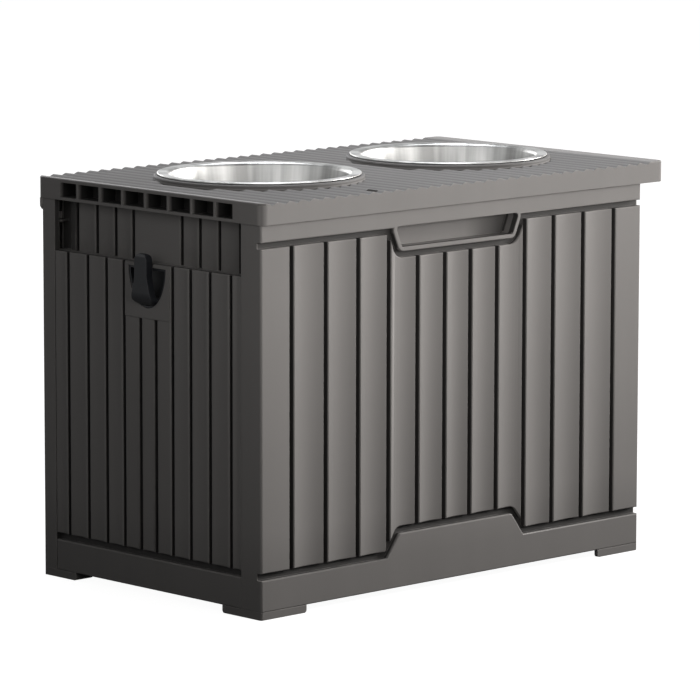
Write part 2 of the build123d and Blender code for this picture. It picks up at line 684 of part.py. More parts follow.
# --- Floor panel and feet --------------------------------------------------------------------
def build_floor():
    """Floor of the storage bin: a plate on a deep rim, stiffened by a grid of ribs."""
    inset = WALL_DEPTH + FLOOR_CLEARANCE
    x_span = (at_depth("left", inset), at_depth("right", inset))
    y_span = (at_depth("front", inset), at_depth("back", inset))
    length = x_span[1] - x_span[0]
    width = y_span[1] - y_span[0]
    middle = (sum(x_span) / 2, sum(y_span) / 2)
    rib_height = FLOOR_TOP - FLOOR_PLATE - SHELF_TOP
    with BuildPart() as floor:
        add_block(x_span, y_span, (SHELF_TOP, FLOOR_TOP))
        add_block(
            (x_span[0] + SKIN, x_span[1] - SKIN),
            (y_span[0] + SKIN, y_span[1] - SKIN),
            (SHELF_TOP, FLOOR_TOP - FLOOR_PLATE),
            Mode.SUBTRACT,
        )
        with Locations((*middle, SHELF_TOP + rib_height / 2)):
            with GridLocations(0, width / (FLOOR_RIBS_LONG + 1), 1, FLOOR_RIBS_LONG):
                Box(length - SKIN, FLOOR_RIB, rib_height)
            with GridLocations(length / (FLOOR_RIBS_CROSS + 1), 0, FLOOR_RIBS_CROSS, 1):
                Box(FLOOR_RIB, width - SKIN, rib_height)
    return floor


def build_foot(side, wall):
    """Foot under one corner: a thin arm along the long wall, a deep one along the side, two pegs."""
    waste = corner_waste(side, wall)
    x_free = -1 if side == "left" else 0
    y_free = -1 if wall == "front" else 0
    with BuildPart() as long_arm:
        add_block(between(side, 0, FOOT_LENGTH), between(wall, 0, FOOT_THICKNESS), (0, FOOT_HEIGHT))
        soles = long_arm.edges().filter_by(Axis.Y).group_by(Axis.Z)[0]
        fillet(soles.sort_by(Axis.X)[x_free], FOOT_END_ROUND)
    with BuildPart() as side_arm:
        add_block(between(side, 0, FOOT_DEPTH), between(wall, 0, FOOT_REACH[wall]), (0, FOOT_HEIGHT))
        soles = side_arm.edges().filter_by(Axis.X).group_by(Axis.Z)[0]
        fillet(soles.sort_by(Axis.Y)[y_free], FOOT_END_ROUND)
    with BuildPart() as foot:
        add(long_arm.part)
        add(side_arm.part)
        with BuildSketch():
            add(waste)
        extrude(amount=FOOT_HEIGHT, mode=Mode.SUBTRACT)
        with Locations([(x, y, FOOT_HEIGHT + SKIN / 2 - FOOT_PEG_FIT) for x, y in foot_pegs(side, wall)]):
            Cylinder(FOOT_PEG_RADIUS, SKIN)
    return foot


# --- Lid -------------------------------------------------------------------------------------
def lid_outline(inset, corner):
    """Plan outline of the lid, inset from its edge."""
    with BuildSketch() as outline:
        with Locations(LID_MID):
            RectangleRounded(LID_SIZE[0] - 2 * inset, LID_SIZE[1] - 2 * inset, corner)
    return outline.sketch


def lid_screw_places():
    """Screws that hold the liner: three along each long side, two between the bowls."""
    x_left = CAVITY_LEFT + 2 * LID_BOSS_RADIUS
    x_right = LID_X[1] - LID_WALL - 2 * LID_BOSS_RADIUS
    y_reach = LID_SIZE[1] / 2 - LID_WALL - LID_SCREW_INSET
    places = [(LID_MID[0], LID_MID[1] + turn * y_reach / 3) for turn in (-1, 1)]
    for turn in (-1, 1):
        places += [(x, LID_MID[1] + turn * y_reach) for x in (x_left, LID_MID[0], x_right)]
    return places


LID_SCREWS = lid_screw_places()


def ridge_grooves():
    """Saw-tooth section of the grooves between the ridges that run across the lid's top."""
    pitch = (LID_SIZE[0] - RIDGE_LEFT_BORDER - RIDGE_RIGHT_BORDER) / RIDGE_COUNT
    with BuildSketch() as grooves:
        for index in range(RIDGE_COUNT):
            crest = LID_X[0] + RIDGE_LEFT_BORDER + index * pitch
            with BuildLine():
                Polyline(
                    (crest, LID_TOP),
                    (crest + RIDGE_FALL * pitch, LID_TOP - RIDGE_DEPTH),
                    (crest + pitch, LID_TOP),
                    close=True,
                )
            make_face()
    return grooves.sketch


def cut_end_cells():
    """Cut the row of open cells along the left end of the lid."""
    start = LID_Y[0] + CELL_FRONT_MARGIN
    for index in range(CELL_COUNT):
        is_end = index in (0, CELL_COUNT - 1)
        width = CELL_END_WIDTH if is_end else CELL_PITCH - CELL_RIB
        heights = (LID_BOTTOM + CELL_FLOOR, LID_TOP - CELL_ROOF)
        add_block((LID_X[0], CELL_BACK), (start, start + width), heights, Mode.SUBTRACT)
        start += width + CELL_RIB


def add_lid_knuckles():
    """Knuckles under the lid's back edge, bored to turn on the hinge pins."""
    for hinge_x in HINGE_XS:
        add_block(
            (hinge_x - LID_KNUCKLE / 2, hinge_x + LID_KNUCKLE / 2),
            (HINGE_Y - KNUCKLE_RADIUS, HINGE_Y + KNUCKLE_RADIUS),
            (HINGE_Z, LINER_BOTTOM),
        )
        add_block(
            (hinge_x - LID_KNUCKLE / 2, hinge_x + LID_KNUCKLE / 2),
            (LID_Y[1] - LID_WALL / 2, HINGE_Y + KNUCKLE_RADIUS),
            (HINGE_Z, LID_BOTTOM + KNUCKLE_LUG),
        )
        with Locations(Location((hinge_x, HINGE_Y, HINGE_Z), ALONG_X)):
            Cylinder(KNUCKLE_RADIUS, LID_KNUCKLE)
            Cylinder(PIN_RADIUS + PIN_RUNNING_FIT, LID_KNUCKLE, mode=Mode.SUBTRACT)


def build_lid_shell():
    """Lid top: ridged roof, rims, bowl collars, screw bosses, end cells and hinge knuckles."""
    outer_outline = lid_outline(0, LID_CORNER)
    cavity_outline = lid_outline(LID_WALL, LID_CORNER - LID_WALL)
    grooves = ridge_grooves()
    with BuildPart() as shell:
        with BuildSketch(Plane.XY.offset(LID_BOTTOM)):
            add(outer_outline)
        extrude(amount=LID_THICKNESS)
        fillet(shell.edges().group_by(Axis.Z)[-1], LID_EDGE)
        with BuildSketch(Plane.XY.offset(LID_BOTTOM)):
            add(cavity_outline)
            add_rectangle((LID_X[0], CAVITY_LEFT), LID_Y, Mode.SUBTRACT)
        extrude(amount=ROOF_BOTTOM - LID_BOTTOM, mode=Mode.SUBTRACT)
        with BuildSketch(Plane((0, LID_MID[1], 0), x_dir=(1, 0, 0), z_dir=(0, -1, 0))):
            add(grooves)
        extrude(amount=LID_SIZE[1], both=True, mode=Mode.SUBTRACT)
        cut_end_cells()

        with BuildSketch(Plane.XY.offset(LID_TOP)):
            with Locations((X_LEFT + DRAIN_FROM_LEFT, Y_FRONT + DRAIN_FROM_FRONT)):
                SlotOverall(DRAIN_LENGTH, DRAIN_WIDTH, rotation=90)
        extrude(amount=-(RIDGE_DEPTH + DRAIN_DEPTH), mode=Mode.SUBTRACT)

        for rib_x in (LID_MID[0] - LID_RIB_SPACING / 2, LID_MID[0] + LID_RIB_SPACING / 2):
            add_block((rib_x - LID_RIB / 2, rib_x + LID_RIB / 2), CAVITY_Y, (LINER_TOP, ROOF_BOTTOM))

        with BuildSketch(Plane.XY.offset(ROOF_BOTTOM)):
            with Locations(BOWL_CENTRES):
                Circle(COLLAR_RADIUS)
        extrude(amount=COLLAR_TOP - ROOF_BOTTOM)
        fillet(shell.edges().group_by(Axis.Z)[-1], COLLAR_EDGE)
        with BuildSketch(Plane.XY.offset(LID_BOTTOM)):
            with Locations(BOWL_CENTRES):
                Circle(BOWL_HOLE_RADIUS + SKIN)
        extrude(amount=ROOF_BOTTOM - LID_BOTTOM)
        with BuildSketch(Plane.XY.offset(LID_BOTTOM)):
            with Locations(BOWL_CENTRES):
                Circle(BOWL_HOLE_RADIUS)
        extrude(amount=COLLAR_TOP - LID_BOTTOM, mode=Mode.SUBTRACT)

        with BuildSketch(Plane.XY.offset(LINER_TOP)):
            with Locations(LID_SCREWS):
                Circle(LID_BOSS_RADIUS)
        extrude(amount=ROOF_BOTTOM - LINER_TOP)
        with BuildSketch(Plane.XY.offset(LINER_TOP)):
            with Locations(LID_SCREWS):
                Circle(LID_SCREW_RADIUS + SCREW_FIT)
        extrude(amount=LID_SCREW_LENGTH, mode=Mode.SUBTRACT)
        add_lid_knuckles()
    return shell


def build_lid_liner():
    """Plate that closes the lid from below, with a hole round each bowl's tube."""
    outline = lid_outline(LID_WALL + LINER_CLEARANCE, LID_CORNER - LID_WALL)
    with BuildPart() as liner:
        with BuildSketch(Plane.XY.offset(LINER_BOTTOM)):
            add(outline)
            add_rectangle((LID_X[0], CAVITY_LEFT + LINER_CLEARANCE), LID_Y, Mode.SUBTRACT)
            with Locations(BOWL_CENTRES):
                Circle(BOWL_HOLE_RADIUS + SKIN + LINER_CLEARANCE, mode=Mode.SUBTRACT)
            with Locations(LID_SCREWS):
                Circle(LID_SCREW_RADIUS + SCREW_FIT, mode=Mode.SUBTRACT)
        extrude(amount=LINER_PLATE)
    return liner


# --- Bowls -----------------------------------------------------------------------------------
def build_bowl(centre):
    """Deep drawn steel bowl with a flat flange and a rolled bead round its edge."""
    floor_z = RIM_UNDERSIDE - BOWL_DEPTH
    bead_x = BOWL_RIM_RADIUS - BOWL_BEAD
    section_plane = Plane((*centre, 0), x_dir=(1, 0, 0), z_dir=(0, -1, 0))
    with BuildPart() as bowl:
        with BuildSketch(section_plane):
            with BuildLine():
                inside = FilletPolyline(
                    (0, floor_z),
                    (BOWL_BASE_RADIUS, floor_z),
                    (BOWL_MOUTH_RADIUS - BOWL_TAPER_IN, floor_z + BOWL_BEND_HEIGHT),
                    (BOWL_MOUTH_RADIUS, RIM_UNDERSIDE),
                    (bead_x, RIM_UNDERSIDE),
                    radius=(BOWL_BASE_BEND, BOWL_WALL_BEND, BOWL_MOUTH_BEND),
                )
                offset(inside, amount=BOWL_SHEET, side=Side.LEFT)
            make_face()
        revolve(axis=Axis((*centre, 0), (0, 0, 1)))
        with BuildSketch(section_plane):
            with Locations((bead_x, RIM_UNDERSIDE + BOWL_SHEET - BOWL_BEAD)):
                Circle(BOWL_BEAD)
        revolve(axis=Axis((*centre, 0), (0, 0, 1)))
    return bowl


# --- Pins and screws -------------------------------------------------------------------------
def build_hinge_pin(x_middle):
    """Plain steel pin through one hinge."""
    with BuildPart() as pin:
        with Locations(Location((x_middle, HINGE_Y, HINGE_Z), ALONG_X)):
            Cylinder(PIN_RADIUS, LID_KNUCKLE + 2 * (KNUCKLE_GAP + WALL_KNUCKLE))
        chamfer(pin.edges().filter_by(GeomType.CIRCLE), PIN_CHAMFER)
    return pin


def build_corner_screws(side, wall):
    """The screws that join one side wall to one corner post, driven from inside the bin."""
    inward = 1 if side == "left" else -1
    seats = corner_screw_seats(side, wall)
    with BuildPart() as screws:
        for x, y, z in seats:
            with BuildSketch(Plane((x, y, z), z_dir=(inward, 0, 0))):
                Circle(SCREW_HEAD_RADIUS)
            extrude(amount=SCREW_HEAD)
            with BuildSketch(Plane((x, y, z), z_dir=(-inward, 0, 0))):
                Circle(SCREW_RADIUS)
            extrude(amount=WALL_DEPTH - SCREW_TIP - SCREW_FIT)
            with BuildSketch(Plane((x + inward * SCREW_HEAD, y, z), z_dir=(-inward, 0, 0))):
                Rectangle(SCREW_RECESS, SCREW_RECESS_SLOT)
                Rectangle(SCREW_RECESS_SLOT, SCREW_RECESS)
            extrude(amount=SCREW_HEAD / 2, mode=Mode.SUBTRACT)
    return screws


def build_lid_screws():
    """The screws that hold the liner under the lid."""
    with BuildPart() as screws:
        with BuildSketch(Plane.XY.offset(LINER_BOTTOM)):
            with Locations(LID_SCREWS):
                Circle(LID_SCREW_HEAD_RADIUS)
        extrude(amount=-LID_SCREW_HEAD)
        with BuildSketch(Plane.XY.offset(LINER_BOTTOM)):
            with Locations(LID_SCREWS):
                Circle(LID_SCREW_RADIUS)
        extrude(amount=LID_SCREW_LENGTH)
    return screws


# --- Make and write every piece --------------------------------------------------------------
def write(name, piece):
    """Label one finished piece and write it as a STEP file of the same name."""
    piece.part.label = name
    export_step(piece.part, f"parts/{name}.step")


write("front_wall", build_long_wall("front"))
write("back_wall", build_long_wall("back", build_hinge_rail()))
for side in ("left", "right"):
    write(f"{side}_wall", build_short_wall(side))
    write(f"{side}_leash_hook", build_hook(side))
    for wall in ("front", "back"):
        write(f"{wall}_{side}_corner_screws", build_corner_screws(side, wall))
        write(f"{wall}_{side}_foot", build_foot(side, wall))
write("floor_panel", build_floor())
write("lid_shell", build_lid_shell())
write("lid_liner", build_lid_liner())
write("lid_screws", build_lid_screws())
for side, centre, hinge_x in zip(("left", "right"), BOWL_CENTRES, HINGE_XS):
    write(f"{side}_bowl", build_bowl(centre))
    write(f"{side}_hinge_pin", build_hinge_pin(hinge_x))
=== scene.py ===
# %% [markdown]
# # A feeder for a large dog, with a storage box below
#
# The object is a slatted resin box on four low feet. A ridged lid closes it and carries two steel
# bowls. This lesson dresses the object's exact solids, which come from a CAD model, with the forms
# and finishes that make them look real: hollowed slats, soft edges, moulded grain, spun steel.
#
# The solids are a fixed frame. They are never moved, so every piece added here takes its place
# from them, in metres, with X to the right, Y to the back and Z up.

# %% Load the frame
import json
import math

import bmesh
import bpy
from mathutils import Matrix, Vector


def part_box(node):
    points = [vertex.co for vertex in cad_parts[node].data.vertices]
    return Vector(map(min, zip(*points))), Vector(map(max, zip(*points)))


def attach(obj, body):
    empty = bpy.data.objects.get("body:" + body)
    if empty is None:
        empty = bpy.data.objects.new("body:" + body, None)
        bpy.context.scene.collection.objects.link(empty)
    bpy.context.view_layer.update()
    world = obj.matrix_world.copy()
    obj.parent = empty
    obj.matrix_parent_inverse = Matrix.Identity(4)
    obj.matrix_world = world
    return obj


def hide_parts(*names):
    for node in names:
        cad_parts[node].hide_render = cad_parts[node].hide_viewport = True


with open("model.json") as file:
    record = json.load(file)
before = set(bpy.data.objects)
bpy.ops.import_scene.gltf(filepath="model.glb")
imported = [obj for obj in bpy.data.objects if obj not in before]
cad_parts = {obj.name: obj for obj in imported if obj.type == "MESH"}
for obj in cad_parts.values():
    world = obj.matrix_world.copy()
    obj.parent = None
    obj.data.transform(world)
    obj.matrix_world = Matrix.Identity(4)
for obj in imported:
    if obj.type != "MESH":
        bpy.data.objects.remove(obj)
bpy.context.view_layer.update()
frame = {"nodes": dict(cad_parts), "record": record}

MM = 0.001
print("nodes in the frame:", len(frame["nodes"]))

# %% [markdown]
# ## A short way to write node trees
#
# A material and a Geometry Nodes tree are both graphs of small boxes joined by wires. Written box
# by box they are long and hard to read. A wire that knows how to add and multiply lets a formula
# be written as a formula: each sign adds one Math node. Colours and vectors take Vector Math and
# Mix nodes instead, because a Math node would turn them grey.

# %% One wire
class Wire:
    """One output of a node. Arithmetic on it adds Math or Vector Math nodes."""

    def __init__(self, sheet, socket):
        self.sheet = sheet
        self.socket = socket

    def out(self, name):
        """Another output of the same node."""
        found = [s for s in self.socket.node.outputs if s.name == name and s.enabled]
        return Wire(self.sheet, found[0])

    def combine(self, operation, other, swapped=False):
        """Join this wire and another wire or number by one node."""
        first, second = (other, self) if swapped else (self, other)
        is_vector = self.socket.type in ("VECTOR", "RGBA")
        if is_vector and operation == "POWER":
            raise TypeError("a vector has no power")
        kind = "ShaderNodeVectorMath" if is_vector else "ShaderNodeMath"
        return self.sheet.node(kind, {"operation": operation}, first, second)

    def __add__(self, other):
        return self.combine("ADD", other)

    def __radd__(self, other):
        return self.combine("ADD", other, swapped=True)

    def __sub__(self, other):
        return self.combine("SUBTRACT", other)

    def __rsub__(self, other):
        return self.combine("SUBTRACT", other, swapped=True)

    def __mul__(self, other):
        return self.combine("MULTIPLY", other)

    def __rmul__(self, other):
        return self.combine("MULTIPLY", other, swapped=True)

    def __truediv__(self, other):
        return self.combine("DIVIDE", other)

    def __rtruediv__(self, other):
        return self.combine("DIVIDE", other, swapped=True)

    def __pow__(self, other):
        return self.combine("POWER", other)

    def __neg__(self):
        return self.combine("MULTIPLY", -1.0)

    def __gt__(self, other):
        return self.combine("GREATER_THAN", other)

    def __lt__(self, other):
        return self.combine("LESS_THAN", other)

    def at_most(self, other):
        return self.combine("MINIMUM", other)

    def at_least(self, other):
        return self.combine("MAXIMUM", other)

    def absolute(self):
        return self.sheet.node("ShaderNodeMath", {"operation": "ABSOLUTE"}, self)

    def clamped(self):
        return self.sheet.node("ShaderNodeClamp", {}, self, 0.0, 1.0)

    def ramp(self, start, length):
        """0 up to a start, then rising to 1 over a length."""
        return ((self - start) / length).clamped()

    def parts(self):
        """The x, y and z of a vector, as three wires."""
        split = self.sheet.node("ShaderNodeSeparateXYZ", {}, self)
        return split.out("X"), split.out("Y"), split.out("Z")


print("a wire knows:", [name for name in vars(Wire) if not name.startswith("_")])

# %% The sheet that wires are drawn on
class Sheet:
    """A node tree to draw on."""

    def __init__(self, tree):
        self.tree = tree

    def feed(self, node, place, value):
        """Join a wire to an input of a node, or set a plain value there."""
        if isinstance(place, int):
            socket = [s for s in node.inputs if s.enabled][place]
        else:
            socket = [s for s in node.inputs if s.enabled and s.name == place][0]
        if isinstance(value, Wire):
            self.tree.links.new(value.socket, socket)
        else:
            socket.default_value = value

    def node(self, kind, settings=None, *values, **named):
        """Add a node: its settings first, then its inputs by order or by name. Gives its output."""
        made = self.tree.nodes.new(kind)
        for name, value in (settings or {}).items():
            setattr(made, name, value)
        for place, value in enumerate(values):
            self.feed(made, place, value)
        for name, value in named.items():
            self.feed(made, name.replace("_", " "), value)
        return Wire(self, [s for s in made.outputs if s.enabled][0])

    def mix(self, share, first, second):
        """Blend two numbers, or two colours, by a share from 0 to 1."""
        is_colour = any(
            isinstance(v, tuple) or (isinstance(v, Wire) and v.socket.type == "RGBA")
            for v in (first, second)
        )
        first, second = [(*v, 1.0) if isinstance(v, tuple) else v for v in (first, second)]
        kind = "RGBA" if is_colour else "FLOAT"
        return self.node("ShaderNodeMix", {"data_type": kind}, share, first, second)


print("a sheet knows:", [name for name in vars(Sheet) if not name.startswith("_")])

# %% [markdown]
# ## Warm grey moulded resin
#
# The box and its lid are injection moulded. Such resin is matt and finely grained where the mould
# was etched, with a faint cloudiness from the flow of the melt, and its edges are rubbed a little
# lighter and smoother; the lighter edges are partly that wear and partly a painted highlight. The
# grain is a bump too small to see as a shape. The rubbed edges come from a Bevel node: where it
# bends the surface, its normal leaves the true one, and the angle between the two is a mask of the
# edges. The same node also rounds the sharp edges of the exact solids. Near the floor the resin's
# colour is darkened as painted shade.

# %% Helpers for finishes
EDGE_GAIN = 6.0                 # how soon a bent normal counts as an edge
EDGE_SAMPLES = 6


def new_material(name):
    """An empty material, the sheet of its tree, and its Principled shader."""
    material = bpy.data.materials.new(name)
    material.use_nodes = True
    tree = material.node_tree
    tree.nodes.clear()
    sheet = Sheet(tree)
    shader = tree.nodes.new("ShaderNodeBsdfPrincipled")
    output = tree.nodes.new("ShaderNodeOutputMaterial")
    tree.links.new(shader.outputs["BSDF"], output.inputs["Surface"])
    return material, sheet, shader


def object_place(sheet):
    """The point on the piece, in metres, which stays put however the object is turned."""
    return sheet.node("ShaderNodeTexCoord").out("Object")


def true_normal(sheet):
    """The direction that the face itself looks in, without any smoothing."""
    return sheet.node("ShaderNodeNewGeometry").out("True Normal")


def noise(sheet, place, scale, detail=2.0, roughness=0.5):
    """Cloudy numbers around one half."""
    return sheet.node(
        "ShaderNodeTexNoise", {}, Vector=place, Scale=scale, Detail=detail, Roughness=roughness
    )


def bump(sheet, strength, distance, height, **normal):
    """A normal that is tilted as if the surface, or a softened Normal, had this height."""
    return sheet.node(
        "ShaderNodeBump", {}, Strength=strength, Distance=distance, Height=height, **normal
    )


def edge_mask(sheet, radius):
    """A softened normal, and a mask that is 1 on edges and 0 on open faces."""
    softened = sheet.node("ShaderNodeBevel", {"samples": EDGE_SAMPLES}, Radius=radius)
    kind = {"operation": "DOT_PRODUCT"}
    likeness = sheet.node("ShaderNodeVectorMath", kind, softened, true_normal(sheet)).out("Value")
    return softened, ((1.0 - likeness) * EDGE_GAIN).clamped()


print("helpers for finishes are ready")

# %% [markdown]
# ## Painted shade in the hollows
#
# Grooves, the hand recesses, the open cells at the lid's ends, the valleys between its ridges and
# the collars round the bowls are all darker than the open faces, because little light finds its
# way in. Lamps alone leave a groove of a few millimetres too pale. So that shade is painted: the
# resin is a darker grey there, by masks that come from where a point lies. Painting them by hand
# would also work, but a formula follows the exact solids, and it needs no image.
#
# Walls need one mask for all four sides. A point's inset is how far it lies behind the nearest
# side of the box, so a groove's floor has an inset and a board's face has none.

# %% Where the box stands
BOX_LENGTH, BOX_DEPTH = 620.0 * MM, 376.0 * MM
LEDGE_TOP = 386.5 * MM
RECESS_DEPTH = 15.0 * MM        # from an end's face to the back of its hand recess
front_low, front_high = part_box("front_wall")
X_LEFT, X_RIGHT, Y_FRONT = front_low.x, front_high.x, front_low.y
X_MIDDLE, Y_MIDDLE = (X_LEFT + X_RIGHT) / 2, Y_FRONT + BOX_DEPTH / 2
Y_BACK = Y_FRONT + BOX_DEPTH
print("the box runs from", [round(v / MM, 1) for v in (X_LEFT, Y_FRONT)],
      "to", [round(v / MM, 1) for v in (X_RIGHT, Y_BACK)], "mm")

# %% A mask of the grooves
GROOVE_DEPTH = 7.0 * MM
FLOOR_START = 2.6 * MM          # the inset at which a groove's floor begins to darken
SIDE_START = 0.4 * MM           # and at which its sides do
GROOVE_RAMP = 1.4 * MM
INNER_START = GROOVE_DEPTH + 0.6 * MM
INNER_RAMP = 0.4 * MM


def from_middle(place):
    """A point's x and y from the middle of the box, and its height."""
    return (place - Vector((X_MIDDLE, Y_MIDDLE, 0.0))).parts()


def sign_of(wire):
    """1 above zero, and -1 at or below it."""
    return (wire > 0.0) * 2.0 - 1.0


def groove_mask(sheet, place, face_depth):
    """1 on the floors and sides of grooves in a face at some depth, 0 on boards and inside."""
    x, y, _ = from_middle(place)
    beyond_x = x.absolute() - BOX_LENGTH / 2
    beyond_y = y.absolute() - BOX_DEPTH / 2
    inset = -beyond_x.at_least(beyond_y) - face_depth
    normal_x, normal_y, normal_z = true_normal(sheet).parts()
    outward = sheet.mix(beyond_x > beyond_y, normal_y * sign_of(y), normal_x * sign_of(x))
    is_side = (outward.absolute() < 0.5) * (normal_z.absolute() < 0.5)
    start = sheet.mix(is_side, FLOOR_START, SIDE_START)
    looks_inward = outward < -0.5
    in_groove = inset.ramp(start, GROOVE_RAMP) * (1.0 - inset.ramp(INNER_START, INNER_RAMP))
    return in_groove * (1.0 - looks_inward)


print("grooves are", round(GROOVE_DEPTH / MM, 1), "mm deep")

# %% Painted shade on the walls
GROOVE_SHADE = 0.75             # painted shade: the share of its colour that a groove's floor loses
NEAR_LEDGE = 0.2 * MM
GRIP_FOOT, GRIP_HEAD = 404.0 * MM, 429.5 * MM
GRIP_HALF, GRIP_LEAN = 88.5 * MM, 10.5 / 24.5   # half its width at the foot, and its sides' lean
GRIP_SPARED = 0.85              # the share of the shade that the open grip is spared
GRIP_SPARED_LESS = 0.70         # what that share falls by, towards the right
GRIP_TURN, GRIP_TURN_RAMP = 30.0 * MM, 55.0 * MM
POCKET_START, POCKET_END = 140.0 * MM, 175.0 * MM
POCKET_FACE = 12.0 * MM         # the pocket behind a rear post lies deeper in the end than this


def wall_painted_shade(sheet, place):
    """Painted shade in the grooves of walls and hand recesses, in the grip and behind the rear
    posts.
    """
    x, y, z = from_middle(place)
    above_ledge = z > LEDGE_TOP + NEAR_LEDGE
    recess_grooves = groove_mask(sheet, place, RECESS_DEPTH) * above_ledge
    grooves = groove_mask(sheet, place, 0.0).at_least(recess_grooves)

    beside_grip = x.absolute() - (z - GRIP_FOOT) * GRIP_LEAN > GRIP_HALF
    in_grip = (1.0 - beside_grip) * (z > GRIP_FOOT) * (z < GRIP_HEAD) * (y < 0.0)
    spared = GRIP_SPARED - x.ramp(GRIP_TURN, GRIP_TURN_RAMP) * GRIP_SPARED_LESS
    grooves = grooves * (1.0 - in_grip * spared)

    behind_face = x.absolute() < BOX_LENGTH / 2 - POCKET_FACE
    pocket = behind_face * above_ledge * (y > POCKET_START) * (y < POCKET_END)
    return grooves.at_least(pocket) * GROOVE_SHADE


print("a groove keeps", round(1.0 - GROOVE_SHADE, 2), "of the resin's colour")

# %% Painted shade on the lid
LID_DEPTH = 385.5 * MM
COLLAR_RISE = 4.6 * MM          # the collars stand this much above the ridges
RIDGE_DROP = 2.0 * MM           # from a ridge to its valley
VALLEY_REACH = 2.5 * MM
CELL_DROP = 3.0 * MM            # the cells begin this far below the top
CELL_RIM, CELL_RAMP = 1.0 * MM, 5.0 * MM
VALLEY_RIM = 0.3 * MM
COLLAR_START, COLLAR_RAMP = 0.3 * MM, 0.8 * MM
CELL_SHADE, VALLEY_SHADE, COLLAR_SHADE = 0.86, 0.40, 0.45
lid_low, lid_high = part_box("lid_shell")
LID_TOP = lid_high.z - COLLAR_RISE
LID_BACK = lid_low.y + LID_DEPTH


def lid_painted_shade(sheet, place):
    """Painted shade in the open cells of the lid's ends, between its ridges and on its collars."""
    x, y, z = place.parts()
    from_ends = (x - lid_low.x).at_most(lid_high.x - x)
    inset = from_ends.at_most(y - lid_low.y).at_most(LID_BACK - y)
    below = LID_TOP - z
    cells = inset.ramp(CELL_RIM, CELL_RAMP) * (below > CELL_DROP)
    valleys = (below / RIDGE_DROP).clamped() * (below < VALLEY_REACH) * (inset > VALLEY_RIM)
    collars = (-below).ramp(COLLAR_START, COLLAR_RAMP)
    return cells * CELL_SHADE + valleys * VALLEY_SHADE + collars * COLLAR_SHADE


print("the lid's ridges stand at", round(LID_TOP / MM, 1), "mm")

# %% Warm grey resin, in three kinds
RESIN_COLOUR = (0.226, 0.217, 0.211)
# the colour of rubbed edges, partly wear and partly a painted highlight
RESIN_WORN_AND_HIGHLIGHT = (0.400, 0.382, 0.366)
BOX_EDGE, LID_EDGE = 1.1 * MM, 0.5 * MM
PAINTED_LOW_SHADE = 0.16                 # painted shade: the share of colour that the foot of the box loses, near the floor
PAINTED_LOW_SHADE_TOP, PAINTED_LOW_SHADE_RAMP = 100.0 * MM, 55.0 * MM
CLOUDS, RUBS, PITS, GRAIN = 7.0, 60.0, 260.0, 900.0    # about how many to the metre
STREAKS = (30.0, 30.0, 2.5)     # far fewer along the height, so that they stand upright


def make_resin(name, soft_edge, painted_shade_of=None):
    """Moulded resin with etched grain and faint flow clouds; its rubbed edges are partly a painted
    highlight, and painted shade darkens its foot and, where given, its hollows.
    """
    material, sheet, shader = new_material(name)
    place = object_place(sheet)
    softened, edges = edge_mask(sheet, soft_edge)

    clouds = noise(sheet, place, CLOUDS, 3.0)
    stretched = sheet.node("ShaderNodeMapping", {}, Vector=place, Scale=STREAKS)
    streaks = noise(sheet, stretched, 1.0)
    height = place.parts()[2]
    # painted shade: the resin is darker towards the floor
    low_painted_shade = ((PAINTED_LOW_SHADE_TOP - height) / PAINTED_LOW_SHADE_RAMP).clamped() * PAINTED_LOW_SHADE
    shade = (0.90 + clouds * 0.10 + streaks * 0.10) * (1.0 - low_painted_shade)
    if painted_shade_of:
        shade = shade * (1.0 - painted_shade_of(sheet, place))
    scale = {"operation": "SCALE"}
    plain = sheet.node("ShaderNodeVectorMath", scale, RESIN_COLOUR, Scale=shade)
    # rubbed edges: lighter partly from wear and partly as a painted highlight
    rubs = noise(sheet, place, RUBS)
    rubbed = edges * (rubs * 1.6 - 0.35).clamped()
    sheet.feed(shader, "Base Color", sheet.mix(rubbed * 0.7, plain, RESIN_WORN_AND_HIGHLIGHT))

    grain = noise(sheet, place, GRAIN, 2.0, 0.6)
    pits = noise(sheet, place, PITS)
    sheet.feed(shader, "Roughness", 0.50 + grain * 0.12 + streaks * 0.06 - rubbed * 0.10)
    relief = bump(sheet, 0.25, 0.4 * MM, grain * 0.7 + pits * 0.3, Normal=softened)
    sheet.feed(shader, "Normal", relief)
    shader.inputs["Specular IOR Level"].default_value = 0.2
    return material


# the grooved and ridged kinds carry painted shade in their hollows; all three are painted darker
# near the floor
warm_grey_resin = make_resin("warm_grey_resin", BOX_EDGE)
grooved_resin = make_resin("warm_grey_resin_grooved_painted_shade", BOX_EDGE, wall_painted_shade)
ridged_resin = make_resin("warm_grey_resin_ridged_painted_shade", LID_EDGE, lid_painted_shade)
print("made", [m.name for m in (warm_grey_resin, grooved_resin, ridged_resin)])

# %% [markdown]
# ## Satin blue-black plastic
#
# The hooks are a second plastic, nearly black with a blue cast and a satin skin. It has the same
# kind of grain, finer, and a slow change in how it shines, as a moulding that cooled unevenly has.
# One colour with a higher gloss would look painted, so scuffs and rubbed edges break it up.

# %% Hook plastic
HOOK_COLOUR = (0.0060, 0.0070, 0.0095)
HOOK_WORN = (0.030, 0.033, 0.040)
HOOK_EDGE = 1.0 * MM
COOLING, SCUFFS = 45.0, 420.0


def make_hook_plastic():
    """Satin plastic with fine scuffs and rubbed edges."""
    material, sheet, shader = new_material("satin_blue_black_plastic")
    place = object_place(sheet)
    softened, edges = edge_mask(sheet, HOOK_EDGE)
    cooling = noise(sheet, place, COOLING)
    scuffs = noise(sheet, place, SCUFFS, 3.0, 0.65)
    rubbed = edges * (cooling * 1.4 - 0.2).clamped()
    worn = rubbed * 0.5 + scuffs * 0.08
    sheet.feed(shader, "Base Color", sheet.mix(worn, HOOK_COLOUR, HOOK_WORN))
    sheet.feed(shader, "Roughness", 0.34 + cooling * 0.14 + scuffs * 0.10)
    sheet.feed(shader, "Normal", bump(sheet, 0.18, 0.3 * MM, scuffs, Normal=softened))
    shader.inputs["Specular IOR Level"].default_value = 0.45
    return material


hook_plastic = make_hook_plastic()
print("made", hook_plastic.name)
